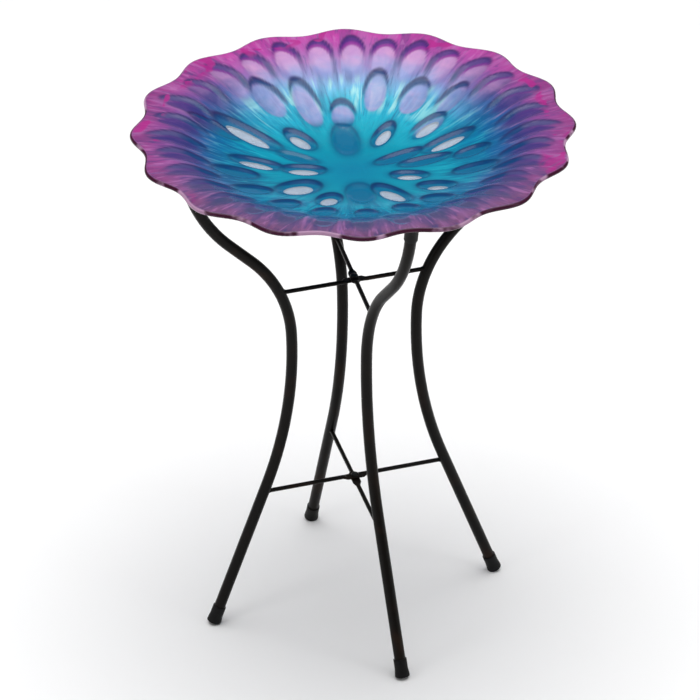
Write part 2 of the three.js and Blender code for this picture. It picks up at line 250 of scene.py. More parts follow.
class NodeSheet:
    """A material's node tree, with short calls for the nodes that the finishes share."""

    def __init__(self, name: str) -> None:
        """Starts a material with one principled shader.

        Args:
            name: the material's name.
        """
        self.material = bpy.data.materials.new(name)
        self.material.use_nodes = True
        self.tree = self.material.node_tree
        self.shader = self.tree.nodes["Principled BSDF"]

    def node(self, kind: str, **settings: str) -> bpy.types.Node:
        """Adds a node.

        Args:
            kind: the node's type.
            settings: its properties.

        Returns:
            The node.
        """
        made = self.tree.nodes.new(kind)
        for key, value in settings.items():
            setattr(made, key, value)
        return made

    def feed(self, socket: Socket, value: Feed) -> None:
        """Links a socket to another, or sets it to a constant.

        Args:
            socket: the input.
            value: the output that it follows, or its constant.
        """
        if isinstance(value, Socket):
            self.tree.links.new(value, socket)
        else:
            socket.default_value = value

    def place(self) -> Socket:
        """The point on the object, in metres."""
        return self.node("ShaderNodeTexCoord").outputs["Object"]

    def attribute(self, name: str) -> Socket:
        """A value that the mesh carries at its vertices."""
        return self.node("ShaderNodeAttribute", attribute_name=name).outputs["Fac"]

    def math(self, operation: str, *values: Feed) -> Socket:
        """Works out one sum.

        Args:
            operation: the kind of sum.
            values: up to three numbers or sockets.

        Returns:
            The result.
        """
        made = self.node("ShaderNodeMath", operation=operation)
        for socket, value in zip(made.inputs, values):
            self.feed(socket, value)
        return made.outputs[0]

    def product(self, first: Feed, *others: Feed) -> Socket:
        """Multiplies values together.

        Args:
            first: the first value.
            others: the values that it is multiplied by.

        Returns:
            The product.
        """
        for other in others:
            first = self.math("MULTIPLY", first, other)
        return first

    def spread(self, value: Feed, low: float, high: float, to_low: float = 0.0,
               to_high: float = 1.0) -> Socket:
        """Maps a value smoothly from one range to another and holds it there.

        Args:
            value: the socket to map.
            low: where the first range starts.
            high: where it ends.
            to_low: the result at and below low.
            to_high: the result at and above high.

        Returns:
            The mapped value.
        """
        made = self.node("ShaderNodeMapRange", interpolation_type="SMOOTHSTEP")
        numbers = {"From Min": low, "From Max": high, "To Min": to_low, "To Max": to_high}
        for name, number in numbers.items():
            made.inputs[name].default_value = number
        self.feed(made.inputs["Value"], value)
        return made.outputs["Result"]

    def noise(self, scale: float, detail: float = 3.0, distortion: float = 0.0,
              vector: Socket | None = None) -> Socket:
        """Makes cloudy noise.

        Args:
            scale: how fine the noise is.
            detail: how much finer noise is laid over it.
            distortion: how much it swirls.
            vector: what the noise follows, or None for the object's own space.

        Returns:
            The noise, from 0 to 1.
        """
        made = self.node("ShaderNodeTexNoise")
        made.inputs["Scale"].default_value = scale
        made.inputs["Detail"].default_value = detail
        made.inputs["Distortion"].default_value = distortion
        self.feed(made.inputs["Vector"], vector or self.place())
        return made.outputs["Fac"]

    def ramp(self, factor: Feed, stops: Sequence[tuple[float, Colour]]) -> Socket:
        """A colour that changes with a factor.

        Args:
            factor: the socket that chooses the colour.
            stops: positions from 0 to 1, each with its colour.

        Returns:
            The colour.
        """
        made = self.node("ShaderNodeValToRGB")
        elements = made.color_ramp.elements
        while len(elements) < len(stops):
            elements.new(0.5)
        for element, (position, colour) in zip(elements, stops):
            element.position = position
            element.color = colour
        self.feed(made.inputs["Fac"], factor)
        return made.outputs["Color"]

    def blend(self, factor: Feed, first: Feed, second: Feed) -> Socket:
        """Mixes two colours.

        Args:
            factor: how much of the second colour there is.
            first: the colour at 0.
            second: the colour at 1.

        Returns:
            The mixed colour.
        """
        made = self.node("ShaderNodeMix", data_type="RGBA")
        for index, value in ((0, factor), (6, first), (7, second)):
            self.feed(made.inputs[index], value)
        return made.outputs[2]

    def bump(self, height: Feed, distance: float, strength: float) -> None:
        """Roughens the shader's surface.

        Args:
            height: the pattern of the roughness, from 0 to 1.
            distance: its depth in metres.
            strength: how much of it shows.
        """
        made = self.node("ShaderNodeBump")
        made.inputs["Distance"].default_value = distance
        made.inputs["Strength"].default_value = strength
        self.feed(made.inputs["Height"], height)
        self.feed(self.shader.inputs["Normal"], made.outputs["Normal"])

    def set(self, **sockets: Feed) -> None:
        """Sets or links the shader's sockets, named with _ for a space."""
        for name, value in sockets.items():
            self.feed(self.shader.inputs[name.replace("_", " ")], value)


@dataclass(frozen=True)
class PowderCoat:
    """Satin black powder coat on the stand's steel, worn brownish in patches."""

    name: str = "black_powder_coat"
    black: str = "100d0b"
    brown: str = "24170f"
    pit: str = "000000"
    patch_scale: float = 22.0
    grain_scale: float = 1400.0
    grain_depth: float = 0.06 * MM
    sheen: float = 0.11

    def make(self) -> bpy.types.Material:
        """Builds the material.

        Returns:
            The material.
        """
        sheet = NodeSheet(self.name)
        patches = sheet.spread(sheet.noise(self.patch_scale, 4.0, 0.6), 0.48, 0.78)
        grain = sheet.noise(self.grain_scale, 2.0)
        colour = sheet.blend(patches, paint(self.black), paint(self.brown))
        colour = sheet.blend(sheet.spread(grain, 0.35, 0.75, 0.0, 0.25), colour, paint(self.pit))
        roughness = sheet.math("ADD", sheet.spread(patches, 0.0, 1.0, 0.3, 0.44),
                               sheet.spread(grain, 0.3, 0.7, -0.03, 0.05))
        sheet.set(Base_Color=colour, Roughness=roughness, Specular_IOR_Level=self.sheen)
        sheet.bump(grain, self.grain_depth, 0.5)
        return sheet.material


@dataclass(frozen=True)
class MouldedRubber:
    """Matte black rubber of the caps, a little dusty."""

    name: str = "black_rubber"
    black: str = "0d0d0e"
    dust: str = "1c1b1a"
    dust_scale: float = 160.0
    pore_scale: float = 2600.0
    pore_depth: float = 0.08 * MM
    sheen: float = 0.16

    def make(self) -> bpy.types.Material:
        """Builds the material.

        Returns:
            The material.
        """
        sheet = NodeSheet(self.name)
        dusty = sheet.spread(sheet.noise(self.dust_scale, 5.0), 0.5, 0.8)
        sheet.set(Base_Color=sheet.blend(dusty, paint(self.black), paint(self.dust)),
                  Roughness=sheet.spread(dusty, 0.0, 1.0, 0.5, 0.72), Specular_IOR_Level=self.sheen)
        sheet.bump(sheet.noise(self.pore_scale, 2.0), self.pore_depth, 0.6)
        return sheet.material


@dataclass(frozen=True)
class RivetPaint:
    """Black paint on the rivets, rubbed thin in small patches."""

    name: str = "rivet_steel"
    black: str = "121110"
    bare: str = "4a4640"
    rub_scale: float = 700.0
    grain_scale: float = 900.0
    grain_depth: float = 0.05 * MM
    sheen: float = 0.2

    def make(self) -> bpy.types.Material:
        """Builds the material.

        Returns:
            The material.
        """
        sheet = NodeSheet(self.name)
        rubbed = sheet.spread(sheet.noise(self.rub_scale, 4.0), 0.6, 0.75)
        sheet.set(Base_Color=sheet.blend(rubbed, paint(self.black), paint(self.bare)),
                  Roughness=sheet.spread(rubbed, 0.0, 1.0, 0.32, 0.5),
                  Metallic=sheet.spread(rubbed, 0.0, 1.0, 0.0, 0.8), Specular_IOR_Level=self.sheen)
        sheet.bump(sheet.noise(self.grain_scale, 2.0), self.grain_depth, 0.5)
        return sheet.material


@dataclass(frozen=True)
class Streaks:
    """One set of streaks that run outwards through the colour.

    dark and light hold where a streak starts and where it is full in the noise, and its strength.
    """

    scale: float
    detail: float
    swirl: float
    dark: tuple[float, float, float]
    light: tuple[float, float, float]
    dark_colour: str
    light_colours: tuple[str, str]


@dataclass(frozen=True)
class PaintedGlass:
    """Pressed glass, clear in front, with fused colour on its back.

    The colour runs in rings from magenta at the rim to teal in the middle. Painted light and painted
    reflection of the overhead light make the far side brighter, and painted shade makes the near side
    duller. The mesh carries the shape of the pressed ovals in its attributes: their floors, the
    crescents and outlines, partly colour pooled in the walls and partly painted shade of the far walls
    seen through the thick glass, the shade round them, and the clear spots. Ring places and zones are
    radii in millimetres. Clouds, patches and the like are a noise's scale, detail and swirl. A pair of
    colours goes from inner to outer, from side to far side, or from one patch of a cloud to another.
    """

    name: str = "painted_glass"
    turn: float = math.radians(-18)
    outermost: float = 232.0
    wander: float = 14.0
    strength: float = 0.78
    side_rings: tuple[tuple[float, str], ...] = (
        (0, "0682a8"), (55, "0696b2"), (95, "069ab8"), (125, "0682ae"), (140, "0a6ea4"),
        (156, "1e62a4"), (168, "44589e"), (181, "74509a"), (193, "904c98"), (206, "9e4a94"),
        (216, "a0468e"), (228, "963c84"),
    )
    # painted light: the rings as the far side shows them, brighter with light and its reflection from
    # above
    far_lit_rings: tuple[tuple[float, str], ...] = (
        (0, "0682a8"), (55, "0698b2"), (85, "06aac4"), (105, "12b4d4"), (125, "3cc4e4"),
        (142, "6cbcea"), (156, "8eaae4"), (168, "9684ca"), (180, "b26cc0"), (194, "c052b0"),
        (210, "c64aac"), (228, "c042a0"),
    )
    # painted shade: the rings duller on the near side
    near_shaded_rings: tuple[tuple[float, str], ...] = (
        (0, "0682a8"), (55, "0694b0"), (95, "0692b2"), (135, "087ea8"), (150, "0e72a4"),
        (162, "26669a"), (176, "485c92"), (190, "66588a"), (204, "7c568a"), (216, "845884"),
        (228, "764a74"),
    )
    broad_streaks: Streaks = Streaks(13.0, 4.0, 0.8, (0.52, 0.32, 0.45), (0.5, 0.68, 0.4),
                                     "0c3f74", ("16bcce", "b87cbe"))
    fine_streaks: Streaks = Streaks(46.0, 3.0, 0.5, (0.46, 0.3, 0.4), (0.54, 0.68, 0.35),
                                    "16407e", ("3cc8dc", "c884c4"))
    past_hub: tuple[float, float] = (60, 110)
    rimwards: tuple[float, float] = (130, 175)
    wall_start: tuple[float, float] = (100, 118)
    wall_end: tuple[float, float] = (160, 142)
    # where painted reflection lies on the far inner floors
    reflection_zone: tuple[float, float] = (84, 104)
    outer_zone: tuple[float, float] = (140, 166)
    floor_zone: tuple[float, float] = (154, 186)
    crescent_zone: tuple[float, float] = (166, 184)
    rim_zone: tuple[float, float] = (194, 206)
    clouds: tuple[float, ...] = (26.0, 4.0, 1.2)
    floor_patches: tuple[float, ...] = (55.0, 3.0, 1.0)
    # patches of the painted reflection on the far inner floors
    reflection_patches: tuple[float, ...] = (48.0, 3.0, 1.2)
    milk_patches: tuple[float, ...] = (60.0, 3.0)
    blotches: tuple[float, ...] = (31.0, 2.0, 0.8)
    glints: tuple[float, ...] = (24.0, 3.0)
    specks: tuple[float, ...] = (900.0, 2.0)
    mottling: tuple[float, ...] = (95.0, 5.0, 2.0)
    ripples: tuple[float, ...] = (70.0, 3.0, 1.0)
    painted_highlight_share: float = 0.8
    shade_share: float = 0.55
    floor_share: float = 0.78
    # painted highlight: pale streaks of reflected light on the far wall
    painted_highlight: str = "b2f0f0"
    # far floors pale with painted light and reflection, near floor grey-blue with painted shade
    far_floor: tuple[str, str] = ("b892d6", "eeb8de")
    far_floor_inwards: str = "8eaae4"
    side_floor: tuple[str, str] = ("142a74", "4a3684")
    near_floor: str = "464c78"
    inner_floor: str = "056c98"
    # painted reflection: the pale sheen of overhead light on the far inner floors
    reflection_tint: tuple[str, str] = ("6c92d6", "ceb0de")
    pressed_shade: tuple[str, str] = ("055f8c", "584f7e")
    # crescents and lips: partly pooled colour, partly painted shade of the far walls seen through the
    # glass
    inner_crescent: str = "06427a"
    outer_crescent: tuple[str, str] = ("4c4c84", "4a1e80")
    lip: tuple[str, str] = ("46207c", "94309a")
    outline: tuple[str, str] = ("053a6a", "34205e")
    milk: tuple[str, str] = ("c0dcfa", "f0f6ff")
    blotch: str = "b8268c"
    # the cut edge: dark maroon, with pale painted highlights along it
    edge: tuple[str, str] = ("42102f", "c096b8")
    back: str = "3b4668"
    back_speck: str = "c8c8dc"
    sheen: float = 0.22
    refraction: float = 1.45
    window_clearness: float = 0.6
    ripple_depth: float = 1.2 * MM

    def make(self) -> bpy.types.Material:
        """Builds the material."""
        return GlassPainter(self).paint_bowl()


class GlassPainter(NodeSheet):
    """Lays the colours of the glass one over another.

    One mask is 1 on the bowl's far side, where light and its reflection from above are painted,
    another is 1 on its near side, where shade is painted, and outer is 1 towards the rim.
    """

    def __init__(self, finish: PaintedGlass) -> None:
        """Starts the material with the places and clouds that its colours share.

        Args:
            finish: the colours and sizes of the finish.
        """
        super().__init__(finish.name)
        self.finish = finish
        mapping = self.node("ShaderNodeMapping")
        mapping.inputs["Rotation"].default_value = (0, 0, -finish.turn)
        self.feed(mapping.inputs["Vector"], self.place())
        split = self.node("ShaderNodeSeparateXYZ")
        self.feed(split.inputs[0], mapping.outputs[0])
        across, beyond = split.outputs[0], split.outputs[1]
        square = self.product(beyond, beyond)
        metres = self.math("SQRT", self.math("MULTIPLY_ADD", across, across, square))
        aim = self.math("DIVIDE", beyond, metres)
        rays = self.node("ShaderNodeCombineXYZ")
        for socket, value in zip(rays.inputs, (self.math("DIVIDE", across, metres), aim, metres)):
            self.feed(socket, value)
        self.rays = rays.outputs[0]
        self.radius = self.product(metres, 1 / MM)
        cloud = self.math("SUBTRACT", self.noise(*finish.clouds), 0.5)
        self.wandering = self.math("MULTIPLY_ADD", cloud, finish.wander * 2, self.radius)
        # masks of painted light and reflection on the far side and of painted shade on the near side
        self.far_lighting = self.spread(self.math("MULTIPLY_ADD", cloud, 0.4, aim), 0.33, 0.98)
        self.near_shading = self.spread(self.math("MULTIPLY_ADD", cloud, 0.5, aim), -0.2, -0.8)
        self.outer = self.spread(self.wandering, *finish.outer_zone)
        clear = self.attribute("clear")
        self.window = self.spread(self.math("MULTIPLY_ADD", cloud, 0.3, clear), 0.42, 0.58)
        self.back = self.attribute("back")
        self.colour = self.ringed(finish.side_rings)

    def deep(self, code: str) -> Colour:
        """A colour as it is under the glass, which takes some of its light."""
        return (*(channel * self.finish.strength for channel in paint(code)[:3]), 1.0)

    def between(self, factor: Feed, codes: tuple[str, str]) -> Socket:
        """A pair of the glass's colours, mixed by a factor."""
        return self.blend(factor, self.deep(codes[0]), self.deep(codes[1]))

    def ringed(self, rings: Sequence[tuple[float, str]]) -> Socket:
        """Rings of colour about the middle, from the radius and colour of each."""
        stops = [(at / self.finish.outermost, self.deep(code)) for at, code in rings]
        return self.ramp(self.math("DIVIDE", self.wandering, self.finish.outermost), stops)

    def along_rays(self, streaks: Streaks) -> Socket:
        """Noise that is drawn out from the middle, as the streaks are."""
        return self.noise(streaks.scale, streaks.detail, streaks.swirl, self.rays)

    def lay(self, factor: Feed, tone: Feed) -> None:
        """Lays a tone over the colour so far, as far as the factor lets it."""
        self.colour = self.blend(factor, self.colour, tone)

    def streak(self, streaks: Streaks) -> None:
        """Draws dark and light streaks outwards through the colour.

        Args:
            streaks: the streaks.
        """
        noise = self.along_rays(streaks)
        past_hub = self.spread(self.radius, *self.finish.past_hub)
        rimwards = self.spread(self.radius, *self.finish.rimwards)
        light = self.between(rimwards, streaks.light_colours)
        tones = ((streaks.dark, self.deep(streaks.dark_colour)), (streaks.light, light))
        for (start, full, strength), tone in tones:
            self.lay(self.product(self.spread(noise, start, full, 0.0, strength), past_hub), tone)

    def painted_highlight(self) -> None:
        """Lays painted highlights, pale streaks of reflected light, between the broad streaks of the far
        wall.
        """
        finish = self.finish
        patches = self.spread(self.along_rays(finish.broad_streaks), 0.5, 0.62)
        wall = self.product(self.spread(self.radius, *finish.wall_start),
                            self.spread(self.radius, *finish.wall_end))
        shown = self.product(patches, wall, self.far_lighting, finish.painted_highlight_share)
        self.lay(shown, self.deep(finish.painted_highlight))

    def floors(self) -> Socket:
        """Works out the colour of the ovals' floors.

        Returns:
            The colour: grey-blue under painted shade near, dark at the sides, and pale on the far side,
                where reflection and light are painted.
        """
        finish = self.finish
        patches = self.noise(*finish.floor_patches)
        far = self.blend(self.spread(self.wandering, *finish.floor_zone),
                         self.deep(finish.far_floor_inwards), self.between(patches, finish.far_floor))
        outer = self.blend(self.far_lighting, self.between(patches, finish.side_floor), far)
        outer = self.blend(self.near_shading, outer, self.deep(finish.near_floor))
        # painted reflection of the overhead light on the inner floors of the far side
        reflection_tint = self.between(self.noise(*finish.reflection_patches), finish.reflection_tint)
        reflection_mask = self.product(self.far_lighting, self.spread(self.radius, *finish.reflection_zone))
        return self.blend(self.outer, self.blend(reflection_mask, self.deep(finish.inner_floor), reflection_tint), outer)

    def press_ovals(self) -> None:
        """Lays the ovals' shade, floors, crescents, lips and outlines over the colour; the last three are
        partly painted shade.
        """
        finish = self.finish
        crescent = self.blend(self.spread(self.wandering, *finish.crescent_zone),
                              self.deep(finish.inner_crescent),
                              self.between(self.far_lighting, finish.outer_crescent))
        layers = (
            ("shade", finish.shade_share, self.between(self.outer, finish.pressed_shade)),
            ("floor", finish.floor_share, self.floors()),
            ("crescent", 1.0, crescent),
            ("lip", 1.0, self.between(self.far_lighting, finish.lip)),
            ("outline", 1.0, self.between(self.outer, finish.outline)),
        )
        for layer, share, tone in layers:
            self.lay(self.product(self.attribute(layer), share), tone)

    def blot_rim(self) -> None:
        """Blots the rim with strong magenta, and colours the glass's cut edge."""
        finish = self.finish
        blotch = self.spread(self.noise(*finish.blotches), 0.57, 0.64, 0.0, 0.75)
        on_rim = self.product(blotch, self.spread(self.radius, *finish.rim_zone),
                              self.math("SUBTRACT", 1.0, self.near_shading))
        self.lay(on_rim, self.deep(finish.blotch))
        # pale painted highlights along the cut edge
        glint = self.spread(self.noise(*finish.glints), 0.5, 0.6)
        self.lay(self.attribute("edge"), self.between(glint, finish.edge))

    def spray_back(self) -> None:
        """Dulls the colour on the bowl's underside, where it is sprayed."""
        specks = self.spread(self.noise(*self.finish.specks), 0.55, 0.75, 0.0, 0.3)
        duller = self.blend(0.25, self.colour, self.deep(self.finish.back))
        self.lay(self.back, self.blend(specks, duller, self.deep(self.finish.back_speck)))

    def paint_bowl(self) -> bpy.types.Material:
        """Lays all the colours and sets the shader.

        Returns:
            The finished material.
        """
        finish = self.finish
        # painted light on the far side, then painted shade on the near side
        self.lay(self.far_lighting, self.ringed(finish.far_lit_rings))
        self.lay(self.near_shading, self.ringed(finish.near_shaded_rings))
        self.streak(finish.broad_streaks)
        self.streak(finish.fine_streaks)
        self.painted_highlight()
        self.press_ovals()
        self.lay(self.window, self.between(self.noise(*finish.milk_patches), finish.milk))
        self.blot_rim()
        self.spray_back()
        mottle = self.spread(self.noise(*finish.mottling), 0.3, 0.8, 0.0, 0.04)
        roughness = self.math("ADD", self.spread(self.back, 0.0, 1.0, 0.1, 0.38), mottle)
        self.set(Base_Color=self.colour, Roughness=roughness, IOR=finish.refraction,
                 Specular_IOR_Level=finish.sheen,
                 Transmission_Weight=self.product(self.window, finish.window_clearness))
        self.bump(self.noise(*finish.ripples), finish.ripple_depth, 0.35)
        return self.material


# ---------------------------------------------------------------- the stand


@dataclass(frozen=True)
class Stretch:
    """A straight or an arc of a leg's centre line. Its curvature is 0 where it is straight."""

    x: float
    z: float
    lean: float
    length: float
    curvature: float

    def at(self, distance: float) -> tuple[float, float, float]:
        """Follows the stretch.

        Args:
            distance: how far along it.

        Returns:
            The place there and the lean.
        """
        lean = self.lean + self.curvature * distance
        if self.curvature == 0:
            return self.x + distance * math.sin(lean), self.z + distance * math.cos(lean), lean
        x = self.x - (math.cos(lean) - math.cos(self.lean)) / self.curvature
        z = self.z + (math.sin(lean) - math.sin(self.lean)) / self.curvature
        return x, z, lean

    def centre(self) -> tuple[float, float]:
        """The centre of the arc."""
        return (self.x + math.cos(self.lean) / self.curvature,
                self.z - math.sin(self.lean) / self.curvature)


@dataclass(frozen=True)
class CapSizes:
    """The rubber cap, the same on feet and tips, and the tube that it is pushed on to."""

    tube_radius: float = 6 * MM
    tube_wall: float = 1 * MM
    gap: float = 0.3 * MM
    floor: float = 4.2 * MM
    length: float = 20 * MM
    wall: float = 0.8 * MM
    flare: float = 0.8 * MM
    edge: float = 1.2 * MM
    lip: float = 0.35 * MM
    wear: float = 0.65 * MM
    edge_steps: int = 6
    lip_steps: int = 4

    @property
    def mouth_radius(self) -> float:
        """Outer radius at the mouth."""
        return self.tube_radius + self.gap + self.wall

    @property
    def flare_radius(self) -> float:
        """Outer radius at the closed end."""
        return self.mouth_radius + self.flare

    def profile(self) -> Profile:
        """Draws the cap's section.

        Returns:
            Its points, from the middle of the closed end out and round to the bore's floor.
        """
        bore = self.tube_radius + self.gap / 3
        inner = self.mouth_radius - self.lip
        return [
            (0.0, 0.0),
            (self.flare_radius * 0.5, 0.0),
            *arc((self.flare_radius - self.edge, self.edge), (self.edge, self.edge), -90, 0,
                 self.edge_steps),
            (self.flare_radius - self.flare * 0.08, self.length * 0.14),
            (self.flare_radius - self.flare * 0.45, self.length * 0.28),
            (self.mouth_radius + self.flare * 0.12, self.length * 0.42),
            (self.mouth_radius, self.length * 0.55),
            (self.mouth_radius, self.length * 0.8),
            *arc((inner, self.length - self.lip), (self.lip, self.lip), 0, 90, self.lip_steps),
            (bore, self.length),
            (bore, self.floor),
            (0.0, self.floor),
        ]


@dataclass(frozen=True)
class LegLine:
    """The bent centre line of a leg in the XZ plane, from foot to tip. Leans are from the vertical."""

    cap: CapSizes = CapSizes()
    foot_radius: float = 162 * MM
    splay: float = math.radians(20.9)
    lower_straight: float = 176 * MM
    lower_bend: float = 460 * MM
    waist_lean: float = math.radians(2)
    upper_bend: float = 142 * MM
    sweep_lean: float = math.radians(45.5)
    sweep_straight: float = 32 * MM
    tip_bend: float = 160 * MM
    tip_lean: float = math.radians(11.5)
    tip_straight: float = 17 * MM
    halvings: int = 40

    def stretches(self) -> list[Stretch]:
        """Lays the leg's line out.

        Returns:
            The straights and arcs in order.
        """
        flat = self.cap.flare_radius - self.cap.edge
        start = flat * math.sin(self.splay) + self.cap.edge * (1 - math.cos(self.splay)) - self.cap.wear
        made: list[Stretch] = []
        state = (self.foot_radius, start, -self.splay)
        plan = (
            (self.lower_straight, None),
            (self.lower_bend, self.waist_lean),
            (self.upper_bend, self.sweep_lean),
            (self.sweep_straight, None),
            (self.tip_bend, self.tip_lean),
            (self.tip_straight, None),
        )
        for size, lean in plan:
            if lean is None:
                stretch = Stretch(*state, size, 0.0)
            else:
                turn = lean - state[2]
                stretch = Stretch(*state, abs(turn) * size, math.copysign(1 / size, turn))
            made.append(stretch)
            state = stretch.at(stretch.length)
        return made

    def tube_stretches(self) -> list[Stretch]:
        """Shortens the line at both ends.

        Returns:
            The stretches that the tube takes up, between the floors of its two caps.
        """
        made = self.stretches()
        short = self.cap.floor + self.cap.gap
        first, last = made[0], made[-1]
        made[0] = Stretch(*first.at(short), first.length - short, first.curvature)
        made[-1] = Stretch(last.x, last.z, last.lean, last.length - short, last.curvature)
        return made

    def foot(self) -> tuple[float, float, float]:
        """Place and lean of the foot cap's closed end."""
        return self.stretches()[0].at(0.0)

    def tip(self) -> tuple[float, float, float]:
        """Place and lean of the tip cap's closed end."""
        last = self.stretches()[-1]
        return last.at(last.length)

    def at_height(self, height: float) -> tuple[float, float, float]:
        """Finds where the leg is at a height, by halving.

        Args:
            height: the height over the floor.

        Returns:
            The place and lean there.
        """
        for stretch in self.stretches():
            if stretch.at(stretch.length)[1] >= height:
                low, high = 0.0, stretch.length
                for _ in range(self.halvings):
                    middle = (low + high) / 2
                    low, high = (middle, high) if stretch.at(middle)[1] < height else (low, middle)
                return stretch.at(low)
        return self.tip()


OPEN_ANGLE = math.radians(95.5)  # from the side frame round to the cross frame
NEST_GAP = 0.5 * MM  # between the caps of the folded frames


class Side(Enum):
    """Which end of its frame a leg is at: the far end is the near one turned half a turn."""

    NEAR = math.pi
    FAR = 0.0


@dataclass
class StandFrame:
    """One frame of the folding stand: two bent legs with their caps, welded to two cross rods."""

    body: str
    legs: dict[str, Side]
    rods: str
    turn: float
    offset: float
    flats: dict[str, int]
    line: LegLine = LegLine()
    tube_sides: int = 48
    bend_step: float = math.radians(1.6)
    cap_steps: int = 48
    rod_radius: float = 2.3 * MM
    rod_sides: int = 32
    pad_half_width: float = 4.6 * MM
    pad_half_length: float = 8.5 * MM
    pad_neck: float = 5.5 * MM
    pad_thickness: float = 2.3 * MM
    pad_squareness: float = 0.6
    weld_reach: float = 1.6 * MM
    weld_swell: float = 0.75 * MM
    weld_gap: float = 0.25 * MM
    tube_crease: float = 60
    cap_crease: float = 35
    rod_crease: float = 50

    @property
    def inset(self) -> float:
        """How far the offset legs come in, so that all four tips are equally far from the axis."""
        tip = self.line.tip()[0]
        return tip - math.sqrt(tip ** 2 - self.offset ** 2)

    def leg_place(self, side: Side) -> Matrix:
        """Where a leg that was modelled in the XZ plane stands."""
        turned = Matrix.Rotation(self.turn, 4, "Z") @ Matrix.Rotation(side.value, 4, "Z")
        return turned @ Matrix.Translation((-self.inset, -self.offset, 0))

    def tube(self, name: str) -> bpy.types.Object:
        """Bends a leg's tube in the XZ plane: straights are extruded and bends are spun.

        Args:
            name: the piece's name.

        Returns:
            The hollow tube.
        """
        stretches = self.line.tube_stretches()
        first = stretches[0]
        clear_selection()
        bpy.ops.mesh.primitive_circle_add(vertices=self.tube_sides, radius=self.line.cap.tube_radius,
                                          location=(first.x, 0, first.z), rotation=(0, first.lean, 0))
        piece = begin(name)
        for stretch in stretches:
            if stretch.curvature == 0:
                x, z, _ = stretch.at(stretch.length)
                move = (x - stretch.x, 0, z - stretch.z)
                bpy.ops.mesh.extrude_region_move(TRANSFORM_OT_translate={"value": move})
                continue
            turn = stretch.curvature * stretch.length
            centre = stretch.centre()
            bpy.ops.mesh.spin(steps=math.ceil(abs(turn) / self.bend_step), angle=-turn,
                              center=(centre[0], 0, centre[1]), axis=(0, 1, 0))
        close_up()
        bpy.ops.object.modifier_add(type="SOLIDIFY")
        wall = piece.modifiers[-1]
        wall.thickness = self.line.cap.tube_wall
        wall.offset = -1
        bpy.ops.object.modifier_apply(modifier=wall.name)
        return piece

    def foot_cap(self, name: str) -> bpy.types.Object:
        """Makes a cap on the foot, worn flat where it stands.

        Args:
            name: the piece's name.

        Returns:
            The cap in the XZ plane.
        """
        piece = lathe(name, self.line.cap.profile(), self.cap_steps)
        x, z, lean = self.line.foot()
        put(piece, Matrix.Translation((x, 0, z)) @ Matrix.Rotation(lean, 4, "Y"))
        bpy.ops.object.mode_set(mode="EDIT")
        bpy.ops.mesh.select_all(action="SELECT")
        bpy.ops.mesh.bisect(plane_co=(0, 0, 0), plane_no=(0, 0, 1), use_fill=True, clear_inner=True,
                            threshold=DOUBLES)
        close_up()
        return piece

    def tip_cap(self, name: str) -> bpy.types.Object:
        """Makes a cap on the tip, under the bowl.

        Args:
            name: the piece's name.

        Returns:
            The cap in the XZ plane.
        """
        piece = lathe(name, self.line.cap.profile(), self.cap_steps)
        x, z, lean = self.line.tip()
        put(piece, Matrix.Translation((x, 0, z)) @ Matrix.Rotation(lean + math.pi, 4, "Y"))
        return piece

    def rod(self, name: str, height: float, flat_side: int) -> bpy.types.Object:
        """A cross rod, flattened round its rivet and welded to the legs at its ends.

        Args:
            name: the piece's name.
            height: height of the rod's middle line.
            flat_side: 1 where the flat is at the rod's top, and -1 where it is underneath.

        Returns:
            The rod in place.
        """
        x, _, lean = self.line.at_height(height)
        reach = math.hypot(x - self.inset, self.offset)
        clear_selection()
        bpy.ops.mesh.primitive_cylinder_add(vertices=self.rod_sides, radius=self.rod_radius,
                                            depth=2 * reach, rotation=(0, math.pi / 2, 0))
        piece = begin(name)
        for cut in self.rod_cuts(reach):
            for place in (cut, -cut):
                bpy.ops.mesh.select_all(action="SELECT")
                bpy.ops.mesh.bisect(plane_co=(place, 0, 0), plane_no=(1, 0, 0), threshold=DOUBLES)
        close_up()
        self.shape_rod(piece, reach, flat_side, lean)
        aim = self.turn - math.atan2(self.offset, x - self.inset)
        put(piece, Matrix.Translation((0, 0, height)) @ Matrix.Rotation(aim, 4, "Z"))
        return piece

    def rod_cuts(self, reach: float) -> list[float]:
        """Chooses where a rod gets rings of vertices.

        Args:
            reach: how far the middle of a leg is from the middle of the rod.

        Returns:
            Distances from the rod's middle, over the neck of its flat and in its weld.
        """
        neck = [self.pad_half_length + self.pad_neck * i / 8 for i in range(9)]
        weld = [reach - self.line.cap.tube_radius - self.weld_reach * i / 4 for i in range(6)]
        return neck + weld

    def shape_rod(self, piece: bpy.types.Object, reach: float, flat_side: int, lean: float) -> None:
        """Presses the flat into a rod and fits its ends to the round tubes with a small weld.

        Args:
            piece: the rod, lying along X.
            reach: how far the middle of a leg is from the middle of the rod.
            flat_side: 1 where the flat is at the rod's top, and -1 where it is underneath.
            lean: how far the legs lean there.
        """
        x, y, z = read_points(piece).T
        along = np.abs(x)
        angle = np.arctan2(z, y)
        round_part = smoothstep(self.pad_half_length, self.pad_half_length + self.pad_neck, along)
        square = 1 - self.pad_squareness * (1 - round_part)
        half_width = self.pad_half_width + (self.rod_radius - self.pad_half_width) * round_part
        half_height = self.pad_thickness / 2 + (self.rod_radius - self.pad_thickness / 2) * round_part
        middle = flat_side * (self.rod_radius - self.pad_thickness / 2) * (1 - round_part)
        across = np.sign(np.cos(angle)) * np.abs(np.cos(angle)) ** square
        up = np.sign(np.sin(angle)) * np.abs(np.sin(angle)) ** square
        tube = self.line.cap.tube_radius
        weld = smoothstep(reach - tube - self.weld_reach, reach - tube + 0.4 * self.weld_reach, along)
        swell = 1 + weld * self.weld_swell / self.rod_radius
        y_new = half_width * across * swell
        z_new = middle + half_height * up * swell
        surface = reach - np.sqrt(np.maximum(tube ** 2 - y_new ** 2, 0)) + self.weld_gap
        limit = surface + z_new * math.tan(lean)
        x_new = np.sign(x) * np.minimum(along, limit)
        write_points(piece, (x_new, y_new, z_new))

